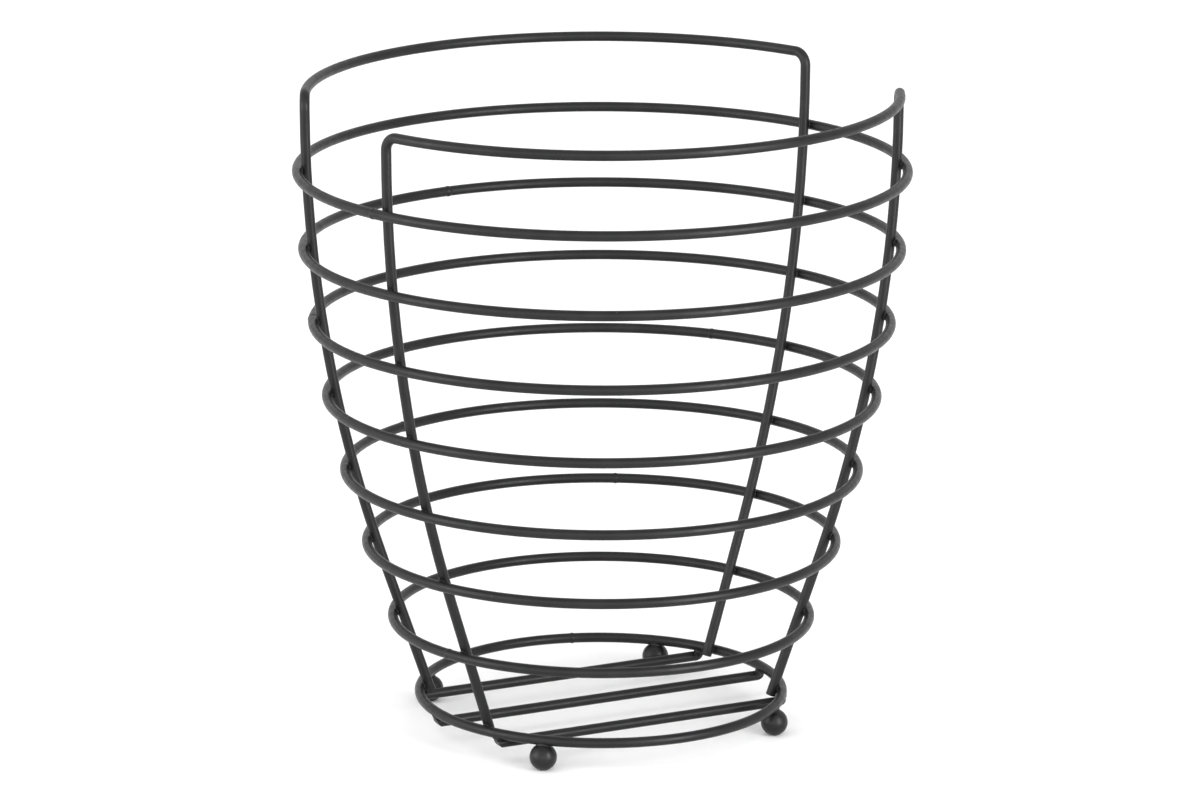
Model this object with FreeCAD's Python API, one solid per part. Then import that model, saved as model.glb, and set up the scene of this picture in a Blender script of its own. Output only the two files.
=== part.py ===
import FreeCAD, Part
import math
import os

# Open wire produce basket, in millimetres.  The table top is Z = 0, +Z is up the
# basket's own axis and +X points at the middle of the right-hand gap in the rim.

# Round steel wire, sizes over the powder coat
WIRE_DIAMETER = 4.2
WELD_SET_DOWN = 0.3           # how far two crossed wires are pressed into each other

# Seven body rings and the base ring, as heights above the base ring's centreline
BODY_RING_HEIGHTS = [33.0, 65.0, 96.0, 127.5, 158.5, 189.5, 222.0]
SEAM_BEAD_DIAMETER = 4.6      # upset metal where the two ends of a ring are butt welded
SEAM_ANGLES = [75.0, 200.0, 62.0, 118.0, 41.0, 156.0, 98.0, 199.0]

# Two bent frame wires: upright, tight bend, rim arc, tight bend, upright
RIM_HEIGHT = 253.3            # rim centreline above the base ring's centreline
RIM_RADIUS = 121.2
RIM_END_ANGLE = 23.4          # where each rim arc meets its bend, measured from +X
RIM_BEND_RADIUS = 5.5
UPRIGHT_FOOT_X = 64.2         # upright centreline at the height of the base ring
UPRIGHT_FOOT_Y = 31.3
UPRIGHT_LEAN = 18.8           # lean of the straight lower stretch, in degrees
UPRIGHT_TAIL = 1.8            # drop of the square-cut end below the base ring

# Bars and feet are square with each other, but turned a little from the frame wires
BASE_TURN = 2.5

# Three parallel base bars, welded under the base ring
BAR_SPACING = 37.0
BAR_SET_DOWN = 0.1
BAR_OVERHANG = 1.2            # how far the top of a bar reaches past the ring's centreline
BAR_END_CURVE = 5.1           # radius of the sheared ends, which curve under from top to bottom

# Four ball feet, welded under the base ring
FOOT_DIAMETER = 11.2
FOOT_SET_DOWN = 0.7
FOOT_FLAT_DIAMETER = 3.0
FOOT_ANGLE = 45.0

# Weld metal squeezed out around each joint
CROSS_WELD_RADIUS = 2.2
FOOT_WELD_RADIUS = 2.6

WIRE_RADIUS = WIRE_DIAMETER / 2.0
FOOT_RADIUS = FOOT_DIAMETER / 2.0
CROSS_GAP = WIRE_DIAMETER - WELD_SET_DOWN
BAR_GAP = WIRE_DIAMETER - BAR_SET_DOWN
FOOT_DROP = FOOT_RADIUS + WIRE_RADIUS - FOOT_SET_DOWN
FOOT_CENTRE_Z = math.sqrt(FOOT_RADIUS ** 2 - (FOOT_FLAT_DIAMETER / 2.0) ** 2)
BASE_RING_Z = FOOT_CENTRE_Z + FOOT_DROP

# Top of an upright, one tight bend away from the end of its rim arc
RIM_END = math.radians(RIM_END_ANGLE)
UPRIGHT_TOP_X = RIM_RADIUS * math.cos(RIM_END) + RIM_BEND_RADIUS * math.sin(RIM_END)
UPRIGHT_TOP_Y = RIM_RADIUS * math.sin(RIM_END) - RIM_BEND_RADIUS * math.cos(RIM_END)
UPRIGHT_HEIGHT = RIM_HEIGHT - RIM_BEND_RADIUS

# Each upright lies in one vertical plane: straight below, one long bend above that
# brings it upright just under the rim.  Lean, height and travel fix the bend radius.
TRAVEL_X = UPRIGHT_TOP_X - UPRIGHT_FOOT_X
TRAVEL_Y = UPRIGHT_TOP_Y - UPRIGHT_FOOT_Y
TRAVEL = math.hypot(TRAVEL_X, TRAVEL_Y)
LEAN = math.radians(UPRIGHT_LEAN)
LONG_BEND_RADIUS = (UPRIGHT_HEIGHT * math.tan(LEAN) - TRAVEL) / (1.0 / math.cos(LEAN) - 1.0)
STRAIGHT_HEIGHT = UPRIGHT_HEIGHT - LONG_BEND_RADIUS * math.sin(LEAN)

UP = FreeCAD.Vector(0, 0, 1)


def lean_at(height):
    """Lean of an upright from vertical at a height above the base ring, in radians."""
    if height <= STRAIGHT_HEIGHT:
        return LEAN
    return math.asin((UPRIGHT_HEIGHT - height) / LONG_BEND_RADIUS)


def upright_point(height, side_x, side_y):
    """Centreline of the upright in one corner, at a height above the base ring."""
    if height <= STRAIGHT_HEIGHT:
        travelled = height * math.tan(LEAN)
    else:
        travelled = TRAVEL - LONG_BEND_RADIUS * (1.0 - math.cos(lean_at(height)))
    share = travelled / TRAVEL
    x = UPRIGHT_FOOT_X + share * TRAVEL_X
    y = UPRIGHT_FOOT_Y + share * TRAVEL_Y
    return FreeCAD.Vector(side_x * x, side_y * y, BASE_RING_Z + height)


def outward_slope(height):
    """How fast the uprights move away from the basket's axis as they rise."""
    point = upright_point(height, 1, 1)
    radius = math.hypot(point.x, point.y)
    outward = (point.x * TRAVEL_X + point.y * TRAVEL_Y) / (radius * TRAVEL)
    return math.tan(lean_at(height)) * outward


def ring_radius(height):
    """Radius of a ring that lies against the outside of the four uprights."""
    point = upright_point(height, 1, 1)
    slope = outward_slope(height)
    return math.hypot(point.x, point.y) + CROSS_GAP * math.sqrt(1.0 + slope ** 2)


def rod(path_edges):
    """Round wire swept along a smooth run of edges."""
    path = Part.Wire(path_edges)
    start = path_edges[0].valueAt(path_edges[0].FirstParameter)
    heading = path_edges[0].tangentAt(path_edges[0].FirstParameter)
    section = Part.Wire([Part.makeCircle(WIRE_RADIUS, start, heading)])
    return path.makePipe(Part.Face(section))


def mirrored(point):
    """The same point on the other upright of one frame wire."""
    return FreeCAD.Vector(-point.x, point.y, point.z)


def frame_wire(side_y):
    """One bent wire: two uprights and the rim arc between them."""
    tail = upright_point(-UPRIGHT_TAIL, 1, side_y)
    straight_end = upright_point(STRAIGHT_HEIGHT, 1, side_y)
    long_bend_middle = upright_point((STRAIGHT_HEIGHT + UPRIGHT_HEIGHT) / 2.0, 1, side_y)
    top = upright_point(UPRIGHT_HEIGHT, 1, side_y)

    along = FreeCAD.Vector(-math.sin(RIM_END), side_y * math.cos(RIM_END), 0)
    bend_centre = top + along * RIM_BEND_RADIUS
    halfway = (UP - along) * (RIM_BEND_RADIUS / math.sqrt(2.0))
    bend_middle = bend_centre + halfway
    rim_start = bend_centre + UP * RIM_BEND_RADIUS
    rim_middle = FreeCAD.Vector(0, side_y * RIM_RADIUS, rim_start.z)

    edges = [
        Part.LineSegment(tail, straight_end).toShape(),
        Part.Arc(straight_end, long_bend_middle, top).toShape(),
        Part.Arc(top, bend_middle, rim_start).toShape(),
        Part.Arc(rim_start, rim_middle, mirrored(rim_start)).toShape(),
        Part.Arc(mirrored(rim_start), mirrored(bend_middle), mirrored(top)).toShape(),
        Part.Arc(mirrored(top), mirrored(long_bend_middle), mirrored(straight_end)).toShape(),
        Part.LineSegment(mirrored(straight_end), mirrored(tail)).toShape(),
    ]
    return rod(edges)


def closed_ring(height, seam_angle):
    """A butt-welded ring with a slight bead at its seam."""
    radius = ring_radius(height)
    centre = FreeCAD.Vector(0, 0, BASE_RING_Z + height)
    ring = Part.makeTorus(radius, WIRE_RADIUS, centre, UP)
    turn = math.radians(seam_angle)
    outwards = FreeCAD.Vector(math.cos(turn), math.sin(turn), 0)
    along_wire = UP.cross(outwards)
    bead = Part.makeSphere(SEAM_BEAD_DIAMETER / 2.0, centre + outwards * radius, along_wire)
    return ring.fuse(bead)


def on_base(x, y, z):
    """A point given in the axes of the bars and feet."""
    return FreeCAD.Rotation(UP, BASE_TURN).multVec(FreeCAD.Vector(x, y, z))


def bar_reach(offset_y):
    """Distance from the middle of a bar to the centreline of the base ring."""
    return math.sqrt(ring_radius(0.0) ** 2 - offset_y ** 2)


def base_bar(offset_y):
    """A straight bar just under the base ring, with sheared ends that curve under."""
    axis_z = BASE_RING_Z - BAR_GAP
    half = bar_reach(offset_y) + BAR_OVERHANG
    rod_start = on_base(-half, offset_y, axis_z)
    uncut = Part.makeCylinder(WIRE_RADIUS, 2.0 * half, rod_start, on_base(1, 0, 0))

    def beside(x, z):
        return on_base(x, offset_y - WIRE_DIAMETER, z)

    high = axis_z + 1.25 * WIRE_RADIUS
    low = high - BAR_END_CURVE
    flat = half - BAR_END_CURVE
    slant = BAR_END_CURVE / math.sqrt(2.0)
    outline = Part.Wire([
        Part.LineSegment(beside(-half, high), beside(half, high)).toShape(),
        Part.Arc(beside(half, high), beside(flat + slant, high - slant), beside(flat, low)).toShape(),
        Part.LineSegment(beside(flat, low), beside(-flat, low)).toShape(),
        Part.Arc(beside(-flat, low), beside(-flat - slant, high - slant), beside(-half, high)).toShape(),
    ])
    between_cuts = Part.Face(outline).extrude(on_base(0, 2.0 * WIRE_DIAMETER, 0))
    return uncut.common(between_cuts)


def foot_centre(side_x, side_y):
    """Centre of the ball foot in one corner."""
    x = ring_radius(0.0) * math.cos(math.radians(FOOT_ANGLE))
    y = ring_radius(0.0) * math.sin(math.radians(FOOT_ANGLE))
    return on_base(side_x * x, side_y * y, FOOT_CENTRE_Z)


def ball_foot(side_x, side_y):
    """A ball with the small flat that it stands on."""
    centre = foot_centre(side_x, side_y)
    ball = Part.makeSphere(FOOT_RADIUS, centre)
    corner = FreeCAD.Vector(centre.x - FOOT_RADIUS, centre.y - FOOT_RADIUS, -FOOT_DIAMETER)
    below_table = Part.makeBox(FOOT_DIAMETER, FOOT_DIAMETER, FOOT_DIAMETER, corner)
    return ball.cut(below_table)


def cross_point(height, side_x, side_y):
    """Middle of the joint between a ring and the upright in one corner."""
    point = upright_point(height, side_x, side_y)
    outwards = FreeCAD.Vector(point.x, point.y, 0).normalize()
    slope = outward_slope(height)
    inwards = (UP * slope - outwards) * (1.0 / math.sqrt(1.0 + slope ** 2))
    on_ring = outwards * ring_radius(height) + UP * point.z
    return on_ring + inwards * (CROSS_GAP / 2.0)


def weld(centre, radius, pieces):
    """Weld metal around a joint, outside the pieces that it joins."""
    return Part.makeSphere(radius, centre).cut(pieces)


def write(name, shape):
    shape.exportStep("parts/" + name + ".step")


os.makedirs("parts", exist_ok=True)

CORNERS = {
    "front_left": (-1, -1),
    "front_right": (1, -1),
    "back_left": (-1, 1),
    "back_right": (1, 1),
}
frames = {"front": frame_wire(-1), "back": frame_wire(1)}
for name, frame in frames.items():
    write("frame_wire_" + name, frame)

feet = {corner: ball_foot(*sides) for corner, sides in CORNERS.items()}
for corner, foot in feet.items():
    write("foot_" + corner, foot)

# Every ring is pressed against both frame wires, and the base ring onto the feet too
heights = [0.0] + BODY_RING_HEIGHTS
pressed_in = list(frames.values()) + list(feet.values())
rings = [closed_ring(*ring).cut(pressed_in) for ring in zip(heights, SEAM_ANGLES)]
write("base_ring", rings[0])
for number, ring in enumerate(rings[1:], start=1):
    write("body_ring_%d" % number, ring)

bar_welds = []
for name, offset_y in {"front": -BAR_SPACING, "middle": 0.0, "back": BAR_SPACING}.items():
    bar = base_bar(offset_y).cut(rings[0])
    write("base_bar_" + name, bar)
    for side_x in (-1, 1):
        joint = on_base(side_x * bar_reach(offset_y), offset_y, BASE_RING_Z - BAR_GAP / 2.0)
        bar_welds.append(weld(joint, CROSS_WELD_RADIUS, [bar, rings[0]]))
write("bar_welds", Part.makeCompound(bar_welds))

foot_welds = []
for corner, sides in CORNERS.items():
    joint = foot_centre(*sides) + UP * (FOOT_DROP - WIRE_RADIUS)
    foot_welds.append(weld(joint, FOOT_WELD_RADIUS, [feet[corner], rings[0]]))
write("foot_welds", Part.makeCompound(foot_welds))

# The lowest weld on an upright can run into the weld of a bar end beside it
for corner, (side_x, side_y) in CORNERS.items():
    frame = frames["front" if side_y < 0 else "back"]
    upright_welds = []
    for height, ring in zip(heights, rings):
        joint = cross_point(height, side_x, side_y)
        beside = bar_welds if height == 0.0 else []
        upright_welds.append(weld(joint, CROSS_WELD_RADIUS, [frame, ring] + beside))
    write("ring_welds_" + corner, Part.makeCompound(upright_welds))
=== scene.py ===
import math
import random

import bmesh
import bpy
import numpy as np
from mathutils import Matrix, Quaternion, Vector, noise


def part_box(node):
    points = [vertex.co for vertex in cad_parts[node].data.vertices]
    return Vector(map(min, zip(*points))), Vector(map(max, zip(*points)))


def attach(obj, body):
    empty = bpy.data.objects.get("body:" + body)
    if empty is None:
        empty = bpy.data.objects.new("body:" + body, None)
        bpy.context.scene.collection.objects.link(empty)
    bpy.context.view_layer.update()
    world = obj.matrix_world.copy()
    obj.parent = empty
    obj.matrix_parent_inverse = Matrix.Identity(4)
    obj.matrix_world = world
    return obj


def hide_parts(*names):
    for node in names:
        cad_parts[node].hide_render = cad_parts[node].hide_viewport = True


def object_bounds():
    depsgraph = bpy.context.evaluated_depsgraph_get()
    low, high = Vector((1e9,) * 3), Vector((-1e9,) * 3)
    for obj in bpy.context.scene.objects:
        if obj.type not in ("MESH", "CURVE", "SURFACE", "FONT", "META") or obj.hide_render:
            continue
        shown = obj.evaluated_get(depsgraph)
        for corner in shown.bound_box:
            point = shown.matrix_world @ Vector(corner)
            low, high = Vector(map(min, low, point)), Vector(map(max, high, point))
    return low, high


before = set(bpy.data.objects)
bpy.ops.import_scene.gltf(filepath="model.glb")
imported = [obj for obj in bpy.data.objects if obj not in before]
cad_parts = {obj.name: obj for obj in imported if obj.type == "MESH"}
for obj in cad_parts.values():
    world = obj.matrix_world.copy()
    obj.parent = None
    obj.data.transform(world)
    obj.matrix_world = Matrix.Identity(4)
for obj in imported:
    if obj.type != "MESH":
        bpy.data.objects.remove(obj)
cad_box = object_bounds()

# A black powder-coated wire basket on a white table.  Wires, bars and feet keep the meshes
# of the frame, and the weld metal at each joint is modelled here.  Lengths are in metres.

MM = 0.001
BODY = "root"
RINGS = sorted(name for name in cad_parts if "_ring" in name)
BARS = ["base_bar_front", "base_bar_middle", "base_bar_back"]
CORNERS = {
    "front_left": (-1, "frame_wire_front"),
    "front_right": (1, "frame_wire_front"),
    "back_left": (-1, "frame_wire_back"),
    "back_right": (1, "frame_wire_back"),
}
UP = Vector((0, 0, 1))


# ---------------------------------------------------------------- measuring the frame

def middle(node):
    """Middle of a CAD node's box."""
    low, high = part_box(node)
    return (low + high) / 2


def corners_of(node):
    """Every mesh corner of a CAD node, one row each."""
    return np.array([vertex.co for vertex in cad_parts[node].data.vertices])


def edge_ends(node):
    """Start and end of every mesh edge of a CAD node."""
    corners = corners_of(node)
    edges = np.array([edge.vertices[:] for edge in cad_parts[node].data.edges])
    return corners[edges[:, 0]], corners[edges[:, 1]]


bar_low, bar_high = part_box("base_bar_middle")
WIRE_RADIUS = (bar_high.z - bar_low.z) / 2
EDGE_BAND = WIRE_RADIUS / 8       # corners this near to an outermost one count with it
SEAM_BAND = WIRE_RADIUS / 50


def ring_size(node):
    """Centreline radius and height of a ring."""
    low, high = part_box(node)
    return (high.y - low.y) / 2 - WIRE_RADIUS, middle(node).z


wire_edges = {name: edge_ends(name) for name in ("frame_wire_front", "frame_wire_back")}


def upright_at(frame_wire, side_x, height):
    """Centre of an upright where a level plane cuts it."""
    start, end = wire_edges[frame_wire]
    crossing = (start[:, 2] - height) * (end[:, 2] - height) < 0
    crossing &= start[:, 0] * side_x > 0
    start, end = start[crossing], end[crossing]
    share = (height - start[:, 2]) / (end[:, 2] - start[:, 2])
    cut = start + (end - start) * share[:, None]
    return Vector((cut.min(0) + cut.max(0)) / 2)


def bar_end(node, side_x):
    """Tip and heel of a bar's curved end: its outermost points at the top and at the bottom."""
    corners = corners_of(node)
    lowest = corners[:, 2] < corners[:, 2].min() + EDGE_BAND
    ends = []
    for part in (corners[~lowest], corners[lowest]):
        reach = part[:, 0] * side_x
        ends.append(Vector(part[reach > reach.max() - EDGE_BAND].mean(0)))
    return ends


def seam_of(ring):
    """Middle of a ring's butt weld, where its skin stands proudest of the wire."""
    radius, height = ring_size(ring)
    corners = corners_of(ring)
    proud = np.hypot(np.hypot(corners[:, 0], corners[:, 1]) - radius, corners[:, 2] - height)
    bead = corners[proud > proud.max() - SEAM_BAND].mean(0)
    return Vector((bead[0], bead[1], 0)).normalized() * radius + UP * height


# ---------------------------------------------------------------- camera

BASKET_HEIGHT = cad_box[1].z - cad_box[0].z
VIEW_AZIMUTH = -24.51
VIEW_ELEVATION = 14.34
VIEW_ROLL = 0.174
VIEW_DISTANCE = 9.711 * BASKET_HEIGHT
VIEW_HEIGHT = 0.5107 * BASKET_HEIGHT
VIEW_ASIDE = -0.7 * MM
LENS = 189.2


def from_camera_side(turn, elevation):
    """Unit vector from the basket, turned from the camera's side and raised, in degrees."""
    azimuth, rise = math.radians(VIEW_AZIMUTH + turn), math.radians(elevation)
    level = Vector((math.sin(azimuth), -math.cos(azimuth), 0)) * math.cos(rise)
    return level + UP * math.sin(rise)


def add_camera():
    """A long lens looking at the middle of the basket from a little above."""
    back = from_camera_side(0, VIEW_ELEVATION)
    target = UP * VIEW_HEIGHT + from_camera_side(90, 0) * VIEW_ASIDE
    camera = bpy.data.objects.new("camera", bpy.data.cameras.new("camera"))
    bpy.context.scene.collection.objects.link(camera)
    camera.data.lens = LENS
    camera.location = target + back * VIEW_DISTANCE
    camera.rotation_mode = "QUATERNION"
    roll = Quaternion((0, 0, 1), math.radians(VIEW_ROLL))
    camera.rotation_quaternion = (-back).to_track_quat("-Z", "Y") @ roll
    bpy.context.scene.camera = camera


add_camera()


# ---------------------------------------------------------------- materials

RANGE_SOCKETS = ("From Min", "From Max", "To Min", "To Max")


class NodePen:
    """Adds shader nodes to one material and links them."""

    def __init__(self, name):
        self.material = bpy.data.materials.new(name)
        self.material.use_nodes = True
        self.tree = self.material.node_tree
        self.shader = self.tree.nodes["Principled BSDF"]
        self.place = self.tree.nodes.new("ShaderNodeTexCoord").outputs["Object"]

    def plug(self, value, socket):
        """Links an output, or sets a plain number, on an input socket."""
        if isinstance(value, bpy.types.NodeSocket):
            self.tree.links.new(value, socket)
        else:
            socket.default_value = value

    def cloud(self, size, detail=2.0, rough=0.5):
        """Soft noise from 0 to 1 with features of about that size."""
        node = self.tree.nodes.new("ShaderNodeTexNoise")
        self.plug(self.place, node.inputs["Vector"])
        node.inputs["Scale"].default_value = 1 / size
        node.inputs["Detail"].default_value = detail
        node.inputs["Roughness"].default_value = rough
        return node.outputs["Fac"]

    def specks(self, spacing, radius, share):
        """Scattered round specks, 1 in the middle of each and 0 between them."""
        cells = self.tree.nodes.new("ShaderNodeTexVoronoi")
        self.plug(self.place, cells.inputs["Vector"])
        cells.inputs["Scale"].default_value = 1 / spacing
        dome = self.remap(cells.outputs["Distance"], 0, radius / spacing, 1, 0)
        red = self.tree.nodes.new("ShaderNodeSeparateColor")
        self.plug(cells.outputs["Color"], red.inputs["Color"])
        chosen = self.math("LESS_THAN", red.outputs["Red"], share)
        return self.math("MULTIPLY", dome, chosen)

    def remap(self, value, low, high, to_low, to_high):
        """Maps a range of values smoothly to another."""
        node = self.tree.nodes.new("ShaderNodeMapRange")
        node.interpolation_type = "SMOOTHSTEP"
        self.plug(value, node.inputs["Value"])
        for socket, number in zip(RANGE_SOCKETS, (low, high, to_low, to_high)):
            node.inputs[socket].default_value = number
        return node.outputs["Result"]

    def math(self, operation, first, second):
        node = self.tree.nodes.new("ShaderNodeMath")
        node.operation = operation
        self.plug(first, node.inputs[0])
        self.plug(second, node.inputs[1])
        return node.outputs["Value"]

    def blend(self, share, first, second):
        """Mixes two colours, given as outputs or as grey or red-green-blue values."""
        node = self.tree.nodes.new("ShaderNodeMix")
        node.data_type = "RGBA"
        self.plug(share, node.inputs[0])
        self.plug(first, node.inputs[6])
        self.plug(second, node.inputs[7])
        return node.outputs[2]

    def bump(self, height, depth, under=None):
        """Raises the surface by a height map of the given depth, on top of another bump."""
        node = self.tree.nodes.new("ShaderNodeBump")
        node.inputs["Distance"].default_value = depth
        self.plug(height, node.inputs["Height"])
        if under is not None:
            self.plug(under, node.inputs["Normal"])
        return node.outputs["Normal"]


BLACK = (0.0045, 0.0045, 0.0047, 1)
WORN_BLACK = (0.0080, 0.0080, 0.0081, 1)
DUST = (0.16, 0.16, 0.155, 1)
COAT_IOR = 1.36
WORN_PATCH_SIZE = 9 * MM
SHEEN_SIZE = 3 * MM
GRAIN_SIZE, GRAIN_DEPTH = 0.12 * MM, 0.002 * MM
SPECK_SPACING, SPECK_RADIUS, SPECK_HEIGHT = 6 * MM, 0.3 * MM, 0.05 * MM
SPECK_COVER = 0.6                 # how strongly dust hides the black under it


def powder_coat(name, roughness, peel_size, peel_depth, speck_share):
    """Satin black powder coat: orange peel, fine grain, uneven sheen and a few dust nibs."""
    pen = NodePen(name)
    pen.shader.inputs["IOR"].default_value = COAT_IOR
    specks = pen.specks(SPECK_SPACING, SPECK_RADIUS, speck_share)
    worn = pen.remap(pen.cloud(WORN_PATCH_SIZE, 3), 0.35, 0.7, 0, 1)
    shade = pen.blend(worn, BLACK, WORN_BLACK)
    dusty = pen.blend(pen.math("MULTIPLY", specks, SPECK_COVER), shade, DUST)
    pen.plug(dusty, pen.shader.inputs["Base Color"])
    sheen = pen.remap(pen.cloud(SHEEN_SIZE, 2), 0.3, 0.7, roughness - 0.05, roughness + 0.06)
    pen.plug(sheen, pen.shader.inputs["Roughness"])
    grain = pen.bump(pen.cloud(GRAIN_SIZE, 1), GRAIN_DEPTH)
    peel = pen.bump(pen.cloud(peel_size, 1), peel_depth, grain)
    pen.plug(pen.bump(specks, SPECK_HEIGHT, peel), pen.shader.inputs["Normal"])
    return pen.material


COATS = {
    "wire_coat": powder_coat(
        "powder_on_wire", roughness=0.38, peel_size=0.9 * MM, peel_depth=0.012 * MM, speck_share=0.5),
    "foot_coat": powder_coat(
        "powder_on_foot", roughness=0.34, peel_size=1.1 * MM, peel_depth=0.012 * MM, speck_share=0.35),
    "weld_coat": powder_coat(
        "powder_on_weld", roughness=0.40, peel_size=0.5 * MM, peel_depth=0.03 * MM, speck_share=0.5),
}
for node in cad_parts.values():
    for material_slot in node.material_slots:
        material_slot.material = COATS[material_slot.material.name.split(".")[0]]


# ---------------------------------------------------------------- weld metal

# How far the metal spreads from the middle of each kind of joint, and how wide a fillet
# it makes in the crease between the two pieces
CROSS_REACH, CROSS_FILLET = 2.8 * MM, 1.7 * MM
BAR_REACH, BAR_FILLET = 3.2 * MM, 3.0 * MM
FOOT_REACH, FOOT_FILLET = 3.3 * MM, 2.6 * MM
SEAM_REACH, SEAM_FILLET = 3.2 * MM, 0.9 * MM
FILLET_RANGE = (0.85, 1.2)        # no two joints get the same amount of metal
LUMP_SIZE = 0.45                  # how unevenly the metal fills the crease
LUMPS_PER_REACH = 1.6
SINK = 0.05 * MM                  # away from the crease the metal hides this far inside the wire
BAR_EDGE_ROUND = WIRE_RADIUS / 2
MARCH_STEPS = 40
luck = random.Random(7)


def unit_sphere():
    """Corners and faces of a finely divided ball of radius 1."""
    shape = bmesh.new()
    bmesh.ops.create_icosphere(shape, subdivisions=5, radius=1)
    corners = np.array([vertex.co for vertex in shape.verts])
    faces = [[vertex.index for vertex in face.verts] for face in shape.faces]
    shape.free()
    return corners, faces


DIRECTIONS, SPHERE_FACES = unit_sphere()


def ring_skin(ring):
    """Function giving the distance from points to the skin of a ring."""
    radius, height = ring_size(ring)

    def distance(points):
        out = np.hypot(points[:, 0], points[:, 1]) - radius
        return np.hypot(out, points[:, 2] - height) - WIRE_RADIUS + SINK
    return distance


def rod_skin(start, end):
    """Function giving the distance from points to the skin of a short straight wire."""
    start, along = np.array(start), np.array(end - start)

    def distance(points):
        share = np.clip((points - start) @ along / (along @ along), 0, 1)
        return np.linalg.norm(points - start - np.outer(share, along), axis=1) - WIRE_RADIUS + SINK
    return distance


def ball_skin(centre, radius):
    """Function giving the distance from points to the skin of a ball."""
    def distance(points):
        return np.linalg.norm(points - np.array(centre), axis=1) - radius + SINK
    return distance


def filled_crease(first, second, width):
    """Lower of two distances, with the crease between them filled by a fillet."""
    overlap = np.clip(1 - np.abs(first - second) / width, 0, None)
    return np.minimum(first, second) - overlap ** 2 * width / 4


def cut_off(skin, point, outwards):
    """Function giving the distance to a skin cut off by a plane, with its edge rounded."""
    def distance(points):
        beyond = (points - np.array(point)) @ np.array(outwards) + SINK
        return -filled_crease(-skin(points), -beyond, BAR_EDGE_ROUND)
    return distance


def nugget(joint, skins, reach, fillet):
    """Corners of one lumpy nugget of squeezed-out metal around a joint."""
    seed = Vector(luck.uniform(-50, 50) for _ in range(3))
    places = [Vector(way) * LUMPS_PER_REACH + seed for way in DIRECTIONS]
    lumps = np.array([noise.fractal(place, 1.0, 2.0, 3) for place in places])
    fillets = fillet * luck.uniform(*FILLET_RANGE) * (1 + LUMP_SIZE * lumps)
    joint = np.array(joint)
    spread = np.full(len(DIRECTIONS), reach)
    inside = np.ones(len(DIRECTIONS), bool)
    last = np.full(len(DIRECTIONS), -WIRE_RADIUS)
    step = reach / MARCH_STEPS
    for distance in np.arange(step, reach, step):
        points = joint + DIRECTIONS * distance
        width = fillets * (1 - (distance / reach) ** 2)
        depth = filled_crease(skins[0](points), skins[1](points), width)
        leaving = inside & (depth > 0)
        spread[leaving] = distance - (step * depth / (depth - last))[leaving]
        inside &= ~leaving
        last = depth
    return joint + DIRECTIONS * spread[:, None]


def add_weld_piece(name, nuggets, node=None):
    """One piece made of several nuggets, standing for the CAD node of the same joints if there is one."""
    faces = [[corner + number * len(DIRECTIONS) for corner in face]
             for number in range(len(nuggets)) for face in SPHERE_FACES]
    mesh = bpy.data.meshes.new(name)
    mesh.from_pydata(np.concatenate(nuggets).tolist(), [], faces)
    mesh.shade_smooth()
    mesh.materials.append(COATS["weld_coat"])
    piece = bpy.data.objects.new(name, mesh)
    bpy.context.scene.collection.objects.link(piece)
    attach(piece, BODY)
    if node:
        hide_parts(node)


def ring_weld(ring, frame_wire, side_x):
    """The nugget where a ring crosses an upright."""
    radius, height = ring_size(ring)
    on_upright = upright_at(frame_wire, side_x, height)
    slant = (upright_at(frame_wire, side_x, height + WIRE_RADIUS) - on_upright).normalized()
    on_ring = Vector((on_upright.x, on_upright.y, 0)).normalized() * radius + UP * height
    nearest = on_upright + slant * (on_ring - on_upright).dot(slant)
    tail = (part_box(frame_wire)[0].z + WIRE_RADIUS / 2 - height) / slant.z
    lower = on_upright + slant * max(tail, -2 * CROSS_REACH)
    upper = on_upright + slant * 2 * CROSS_REACH
    skins = [ring_skin(ring), rod_skin(lower, upper)]
    return nugget((on_ring + nearest) / 2, skins, CROSS_REACH, CROSS_FILLET)


def bar_weld(bar, side_x):
    """The nugget where a bar's end crosses under the base ring."""
    radius, height = ring_size("base_ring")
    tip, heel = bar_end(bar, side_x)
    far_tip = bar_end(bar, -side_x)[0]
    outwards = Vector((tip.x - far_tip.x, tip.y - far_tip.y, 0)).normalized()
    halfway = Vector(((tip.x + far_tip.x) / 2, (tip.y + far_tip.y) / 2, middle(bar).z))
    on_bar = halfway + outwards * math.sqrt(radius ** 2 - halfway.xy.length_squared)
    on_ring = Vector((on_bar.x, on_bar.y, height))
    rod = rod_skin(on_bar - outwards * 2 * BAR_REACH, on_bar + outwards * 2 * BAR_REACH)
    end_normal = outwards.cross(UP).cross(heel - tip).normalized()
    skins = [ring_skin("base_ring"), cut_off(rod, tip, end_normal)]
    return nugget((on_ring + on_bar) / 2, skins, BAR_REACH, BAR_FILLET)


def foot_weld(foot):
    """The neck of weld metal between a ball foot and the base ring."""
    low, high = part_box(foot)
    ball_radius = (high.x - low.x) / 2
    centre = Vector((middle(foot).x, middle(foot).y, high.z - ball_radius))
    joint = Vector((centre.x, centre.y, ring_size("base_ring")[1] - WIRE_RADIUS))
    skins = [ring_skin("base_ring"), ball_skin(centre, ball_radius)]
    return nugget(joint, skins, FOOT_REACH, FOOT_FILLET)


def seam_weld(ring):
    """The flash around the butt weld that closes a ring."""
    seam = seam_of(ring)
    skins = [ring_skin(ring), ball_skin(seam, WIRE_RADIUS)]
    return nugget(seam, skins, SEAM_REACH, SEAM_FILLET)


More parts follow.
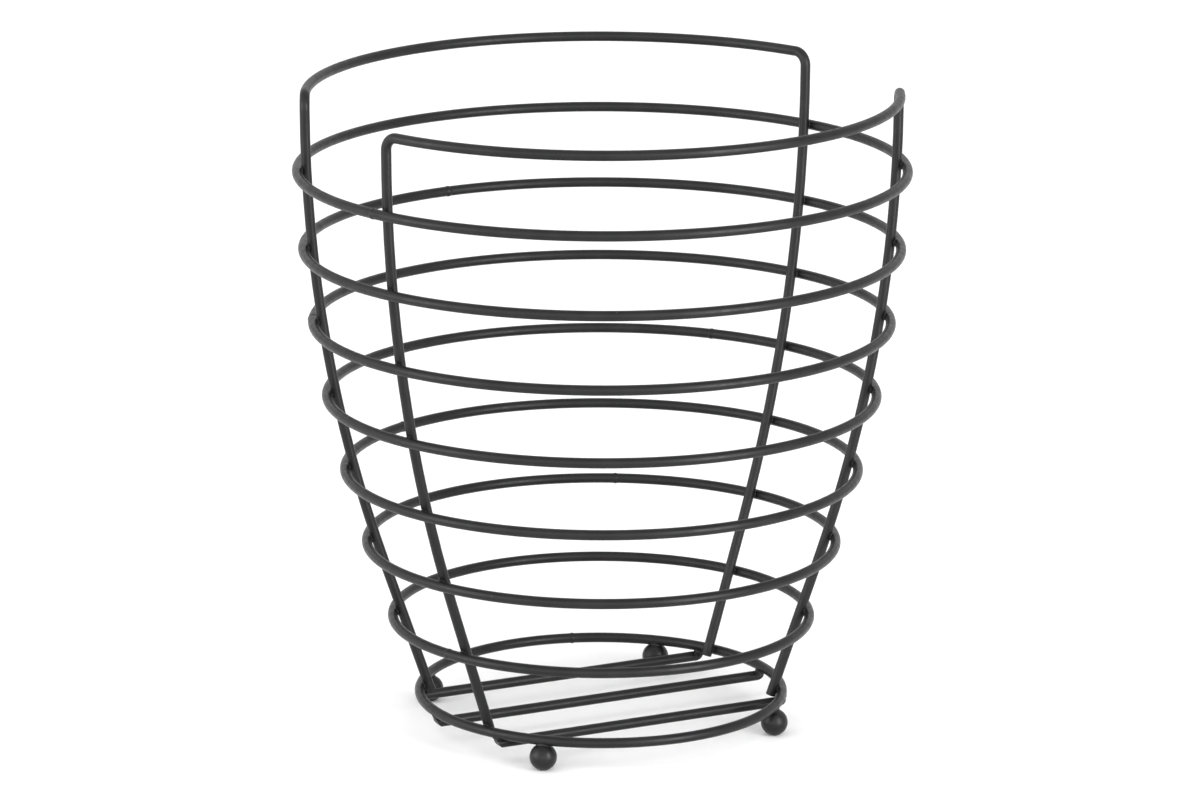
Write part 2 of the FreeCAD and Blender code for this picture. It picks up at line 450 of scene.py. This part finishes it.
for corner, (side_x, frame_wire) in CORNERS.items():
    ring_nuggets = [ring_weld(ring, frame_wire, side_x) for ring in RINGS]
    add_weld_piece("weld_metal_" + corner, ring_nuggets, "ring_welds_" + corner)
bar_nuggets = [bar_weld(bar, side_x) for bar in BARS for side_x in (-1, 1)]
add_weld_piece("weld_metal_bars", bar_nuggets, "bar_welds")
add_weld_piece("weld_metal_feet", [foot_weld("foot_" + corner) for corner in CORNERS], "foot_welds")
add_weld_piece("weld_metal_seams", [seam_weld(ring) for ring in RINGS])


# ---------------------------------------------------------------- table and light

TABLE_REACH = 40 * BASKET_HEIGHT
TABLE_WHITE = (0.92, 0.92, 0.92, 1)
HORIZON_BLEND = (-0.3, 0.4)       # where the weak light ends and the strong light is full


def add_floor():
    """A plain white table top, wide enough to fill any view."""
    square = [(-1, -1), (1, -1), (1, 1), (-1, 1)]
    mesh = bpy.data.meshes.new("table")
    mesh.from_pydata([(x * TABLE_REACH, y * TABLE_REACH, 0) for x, y in square], [], [(0, 1, 2, 3)])
    floor = bpy.data.objects.new("table", mesh)
    bpy.context.scene.collection.objects.link(floor)
    paint = bpy.data.materials.new("table_white")
    paint.use_nodes = True
    shader = paint.node_tree.nodes["Principled BSDF"]
    shader.inputs["Base Color"].default_value = TABLE_WHITE
    shader.inputs["Roughness"].default_value = 0.8
    mesh.materials.append(paint)


def add_world(turn, front, back, overhead):
    """White light from all around: strong on the horizon at that turn, weaker opposite and overhead."""
    world = bpy.data.worlds.new("studio")
    world.use_nodes = True
    tree = world.node_tree
    background = tree.nodes["Background"]
    background.inputs["Color"].default_value = (1, 1, 1, 1)
    direction = tree.nodes.new("ShaderNodeTexCoord").outputs["Generated"]
    towards_front = tree.nodes.new("ShaderNodeVectorMath")
    towards_front.operation = "DOT_PRODUCT"
    towards_front.inputs[1].default_value = from_camera_side(turn, 0)
    tree.links.new(direction, towards_front.inputs[0])
    horizon = tree.nodes.new("ShaderNodeMapRange")
    horizon.interpolation_type = "SMOOTHSTEP"
    for socket, number in zip(RANGE_SOCKETS, (*HORIZON_BLEND, back, front)):
        horizon.inputs[socket].default_value = number
    tree.links.new(towards_front.outputs["Value"], horizon.inputs["Value"])
    height = tree.nodes.new("ShaderNodeSeparateXYZ")
    tree.links.new(direction, height.inputs["Vector"])
    fade = tree.nodes.new("ShaderNodeMapRange")
    fade.inputs["To Max"].default_value = overhead
    tree.links.new(height.outputs["Z"], fade.inputs["Value"])
    tree.links.new(horizon.outputs["Result"], fade.inputs["To Min"])
    tree.links.new(fade.outputs["Result"], background.inputs["Strength"])
    bpy.context.scene.world = world


def add_softbox(name, turn, elevation, distance, width, height, watts):
    """A large soft light, placed by its turn from the camera's side and its elevation."""
    light = bpy.data.lights.new(name, "AREA")
    light.shape = "RECTANGLE"
    light.size, light.size_y = width, height
    light.energy = watts
    lamp = bpy.data.objects.new(name, light)
    bpy.context.scene.collection.objects.link(lamp)
    towards = from_camera_side(turn, elevation)
    lamp.location = UP * VIEW_HEIGHT + towards * distance
    lamp.rotation_mode = "QUATERNION"
    lamp.rotation_quaternion = towards.to_track_quat("Z", "Y")


add_floor()
add_world(turn=-22, front=2.7, back=0.85, overhead=1.05)
add_softbox("softbox_right", turn=46, elevation=8, distance=1.0, width=0.3, height=0.8, watts=6.5)
add_softbox("softbox_left", turn=-66, elevation=8, distance=1.0, width=0.3, height=0.8, watts=2.5)
bpy.context.scene.view_settings.view_transform = "Standard"
